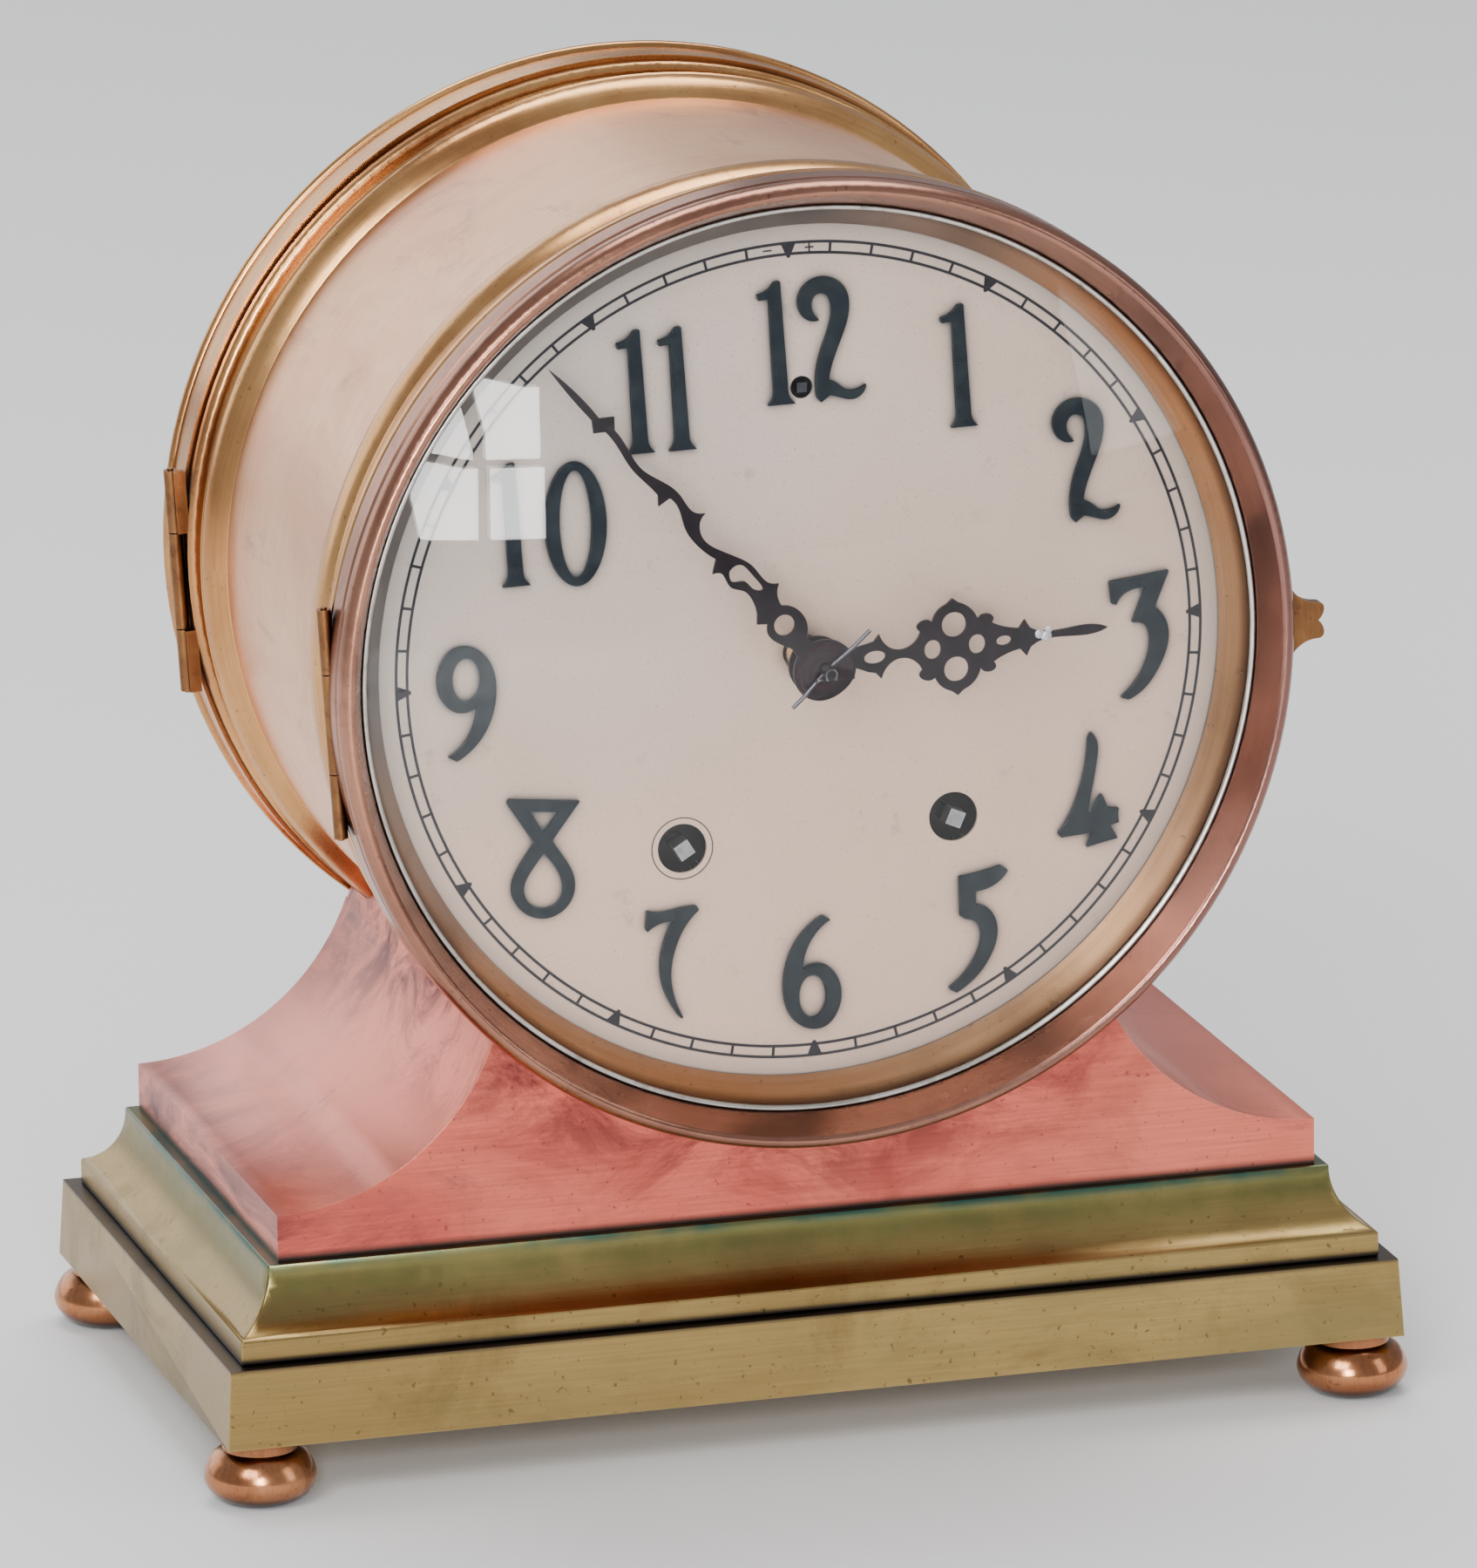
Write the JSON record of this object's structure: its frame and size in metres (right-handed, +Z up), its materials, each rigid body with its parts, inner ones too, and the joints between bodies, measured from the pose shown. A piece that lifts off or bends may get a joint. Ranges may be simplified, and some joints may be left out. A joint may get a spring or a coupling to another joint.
{
  "type": "ships deck clock",
  "caption": "Brass and copper striking ship clock: drum case on a coved four-footed base, hinged domed glass bezel, hinged back, raised numerals and an eight-day movement with a bell.",
  "frame": {"origin": "on the floor under the feet, at the middle of the whole clock in plan", "axes": "+X to the right as the dial is read, +Y to the back of the clock, +Z up"},
  "size_m": [0.3096, 0.1996, 0.3227],
  "materials": {
    "copper": "polished copper-red metal with cloudy tarnish",
    "brass": "aged olive-gold brass with dark patina in the grooves",
    "bezel_bronze": "worn bronze-copper polish",
    "gilt": "golden reflector, satin",
    "silver": "bright turned silvering",
    "dial_silver": "warm silvered dial with fine speckle",
    "dial_plate": "raw brass",
    "numeral_blue": "raised blue-black enamel",
    "hand_black": "near-black purple blued steel",
    "washer_red": "dark red-brown lacquer",
    "crystal": "clear domed glass",
    "steel": "grey steel",
    "blued_steel": "blued steel",
    "movement_brass": "brushed movement brass",
    "bell_metal": "bright bell metal"
  },
  "bodies": {
    "case": {"back_plate": "movement_brass", "backing_screws": "steel", "balance_cock": "movement_brass", "base_moulding": "brass", "base_slab": "brass", "bell": "bell_metal", "bell_post": "movement_brass", "bottom_cover": "brass", "dial": "dial_silver", "dial_backing": "dial_plate", "dial_posts": "movement_brass", "drum_shell": "copper", "feet": "copper", "foot_studs": "steel", "front_collar": "brass", "front_hinge_knuckles": "brass", "front_hinge_pin": "steel", "front_plate": "movement_brass", "hour_numerals": "numeral_blue", "movement_pillars": "movement_brass", "plinth": "copper", "rear_collar": "brass", "rear_hinge_knuckles": "brass", "rear_hinge_pin": "steel"},
    "front_door": {"bezel_ring": "bezel_bronze", "bezel_hinge_knuckle": "brass", "glass": "crystal", "glass_ring": "silver", "reflector_ring": "gilt", "finger_tab": "brass"},
    "rear_door": {"rear_door_ring": "brass", "rear_door_plate": "brass", "rear_door_knuckle": "brass"},
    "rear_latch": {"rear_latch": "brass"},
    "hour_hand": {"hour_hand": "hand_black", "hour_wheel": "movement_brass"},
    "minute_hand": {"minute_hand": "hand_black", "hand_collet": "washer_red", "hand_pin": "steel", "centre_wheel": "movement_brass", "cannon_pinion": "movement_brass"},
    "minute_wheel": {"minute_wheel": "movement_brass"},
    "time_second_wheel": {"time_second_wheel": "movement_brass"},
    "third_wheel": {"third_wheel": "movement_brass"},
    "fourth_wheel": {"fourth_wheel": "movement_brass"},
    "escape_wheel": {"escape_wheel": "movement_brass"},
    "time_barrel": {"time_barrel": "movement_brass"},
    "time_winding_arbor": {"time_winding_arbor": "blued_steel"},
    "strike_winding_arbor": {"strike_winding_arbor": "blued_steel"},
    "strike_barrel": {"strike_barrel": "movement_brass"},
    "strike_second_wheel": {"strike_second_wheel": "movement_brass"},
    "pin_wheel": {"pin_wheel": "movement_brass"},
    "fly": {"fly": "movement_brass"},
    "lever": {"lever": "blued_steel"},
    "balance": {"balance_wheel": "movement_brass"},
    "regulator": {"regulator_arbor": "blued_steel"},
    "hammer": {"hammer": "blued_steel"},
    "time_click": {"time_click": "blued_steel"},
    "strike_click": {"strike_click": "blued_steel"}
  },
  "joints": [
    {"name": "front_door_swing", "type": "hinge", "parent": "case", "child": "front_door", "pos_m": [-0.11971, -0.0754, 0.19506], "axis": [0.0558, 0, -0.9984], "range_deg": [0, 110]},
    {"name": "rear_door_swing", "type": "hinge", "parent": "case", "child": "rear_door", "pos_m": [-0.12001, 0.0775, 0.19504], "axis": [-0.0558, 0, 0.9984], "range_deg": [0, 110]},
    {"name": "rear_latch_turn", "type": "hinge", "parent": "rear_door", "child": "rear_latch", "pos_m": [0.104, 0.0872, 0.20175], "axis": [0, 1, 0], "range_deg": [0, 90]},
    {"name": "minute_hand_turn", "type": "hinge", "parent": "case", "child": "minute_hand", "pos_m": [0, -0.08, 0.20175], "axis": [0, 1, 0], "continuous": true},
    {"name": "hour_hand_turn", "type": "hinge", "parent": "case", "child": "hour_hand", "pos_m": [0, -0.08, 0.20175], "axis": [0, 1, 0], "continuous": true},
    {"name": "minute_wheel_turn", "type": "hinge", "parent": "case", "child": "minute_wheel", "pos_m": [-0.01119, -0.035, 0.19741], "axis": [0, 1, 0], "continuous": true},
    {"name": "time_second_wheel_turn", "type": "hinge", "parent": "case", "child": "time_second_wheel", "pos_m": [0.02213, -0.035, 0.19123], "axis": [0, 1, 0], "continuous": true},
    {"name": "third_wheel_turn", "type": "hinge", "parent": "case", "child": "third_wheel", "pos_m": [0.00372, -0.035, 0.22576], "axis": [0, 1, 0], "continuous": true},
    {"name": "fourth_wheel_turn", "type": "hinge", "parent": "case", "child": "fourth_wheel", "pos_m": [0.01957, -0.035, 0.23191], "axis": [0, 1, 0], "continuous": true},
    {"name": "escape_wheel_turn", "type": "hinge", "parent": "case", "child": "escape_wheel", "pos_m": [0.01677, -0.035, 0.24604], "axis": [0, 1, 0], "continuous": true},
    {"name": "time_barrel_turn", "type": "hinge", "parent": "case", "child": "time_barrel", "pos_m": [0.03825, -0.035, 0.15704], "axis": [0, 1, 0], "continuous": true},
    {"name": "time_winding_arbor_turn", "type": "hinge", "parent": "case", "child": "time_winding_arbor", "pos_m": [0.03825, -0.035, 0.15704], "axis": [0, 1, 0], "continuous": true},
    {"name": "strike_winding_arbor_turn", "type": "hinge", "parent": "case", "child": "strike_winding_arbor", "pos_m": [-0.03083, -0.035, 0.15489], "axis": [0, 1, 0], "continuous": true},
    {"name": "strike_barrel_turn", "type": "hinge", "parent": "case", "child": "strike_barrel", "pos_m": [-0.03083, -0.035, 0.15489], "axis": [0, 1, 0], "continuous": true},
    {"name": "strike_second_wheel_turn", "type": "hinge", "parent": "case", "child": "strike_second_wheel", "pos_m": [-0.03491, -0.035, 0.19247], "axis": [0, 1, 0], "continuous": true},
    {"name": "pin_wheel_turn", "type": "hinge", "parent": "case", "child": "pin_wheel", "pos_m": [-0.02701, -0.035, 0.21567], "axis": [0, 1, 0], "continuous": true},
    {"name": "fly_turn", "type": "hinge", "parent": "case", "child": "fly", "pos_m": [-0.03074, -0.035, 0.2345], "axis": [0, 1, 0], "continuous": true},
    {"name": "lever_rock", "type": "hinge", "parent": "case", "child": "lever", "pos_m": [0.00741, -0.035, 0.24892], "axis": [0, 1, 0], "range_deg": [-5, 5]},
    {"name": "balance_swing", "type": "hinge", "parent": "case", "child": "balance", "pos_m": [-0.00305, -0.035, 0.2517], "axis": [0, 1, 0], "range_deg": [-135, 135], "stiffness_Nm_per_rad": 0.00001},
    {"name": "regulator_turn", "type": "hinge", "parent": "case", "child": "regulator", "pos_m": [0.00082, -0.064, 0.26778], "axis": [0, 1, 0], "range_deg": [-60, 60]},
    {"name": "hammer_lift", "type": "hinge", "parent": "case", "child": "hammer", "pos_m": [-0.0166, -0.035, 0.23599], "axis": [0, 1, 0], "range_deg": [0, 12], "stiffness_Nm_per_rad": 0.02},
    {"name": "time_click_lift", "type": "hinge", "parent": "case", "child": "time_click", "pos_m": [0.0513, -0.062, 0.1621], "axis": [0, 1, 0], "range_deg": [0, 12], "stiffness_Nm_per_rad": 0.01},
    {"name": "strike_click_lift", "type": "hinge", "parent": "case", "child": "strike_click", "pos_m": [-0.04408, -0.062, 0.15941], "axis": [0, 1, 0], "range_deg": [-12, 0], "stiffness_Nm_per_rad": 0.01}
  ],
  "couplings": [
    {"joint": "hour_hand_turn", "follows": "minute_hand_turn", "ratio": 0.083333},
    {"joint": "minute_wheel_turn", "follows": "minute_hand_turn", "ratio": -0.33333},
    {"joint": "time_second_wheel_turn", "follows": "minute_hand_turn", "ratio": -0.16667},
    {"joint": "time_barrel_turn", "follows": "minute_hand_turn", "ratio": 0.027778},
    {"joint": "third_wheel_turn", "follows": "minute_hand_turn", "ratio": -8},
    {"joint": "fourth_wheel_turn", "follows": "minute_hand_turn", "ratio": 60},
    {"joint": "escape_wheel_turn", "follows": "minute_hand_turn", "ratio": -480},
    {"joint": "strike_second_wheel_turn", "follows": "strike_barrel_turn", "ratio": -6},
    {"joint": "pin_wheel_turn", "follows": "strike_barrel_turn", "ratio": 36},
    {"joint": "fly_turn", "follows": "strike_barrel_turn", "ratio": -252}
  ]
}
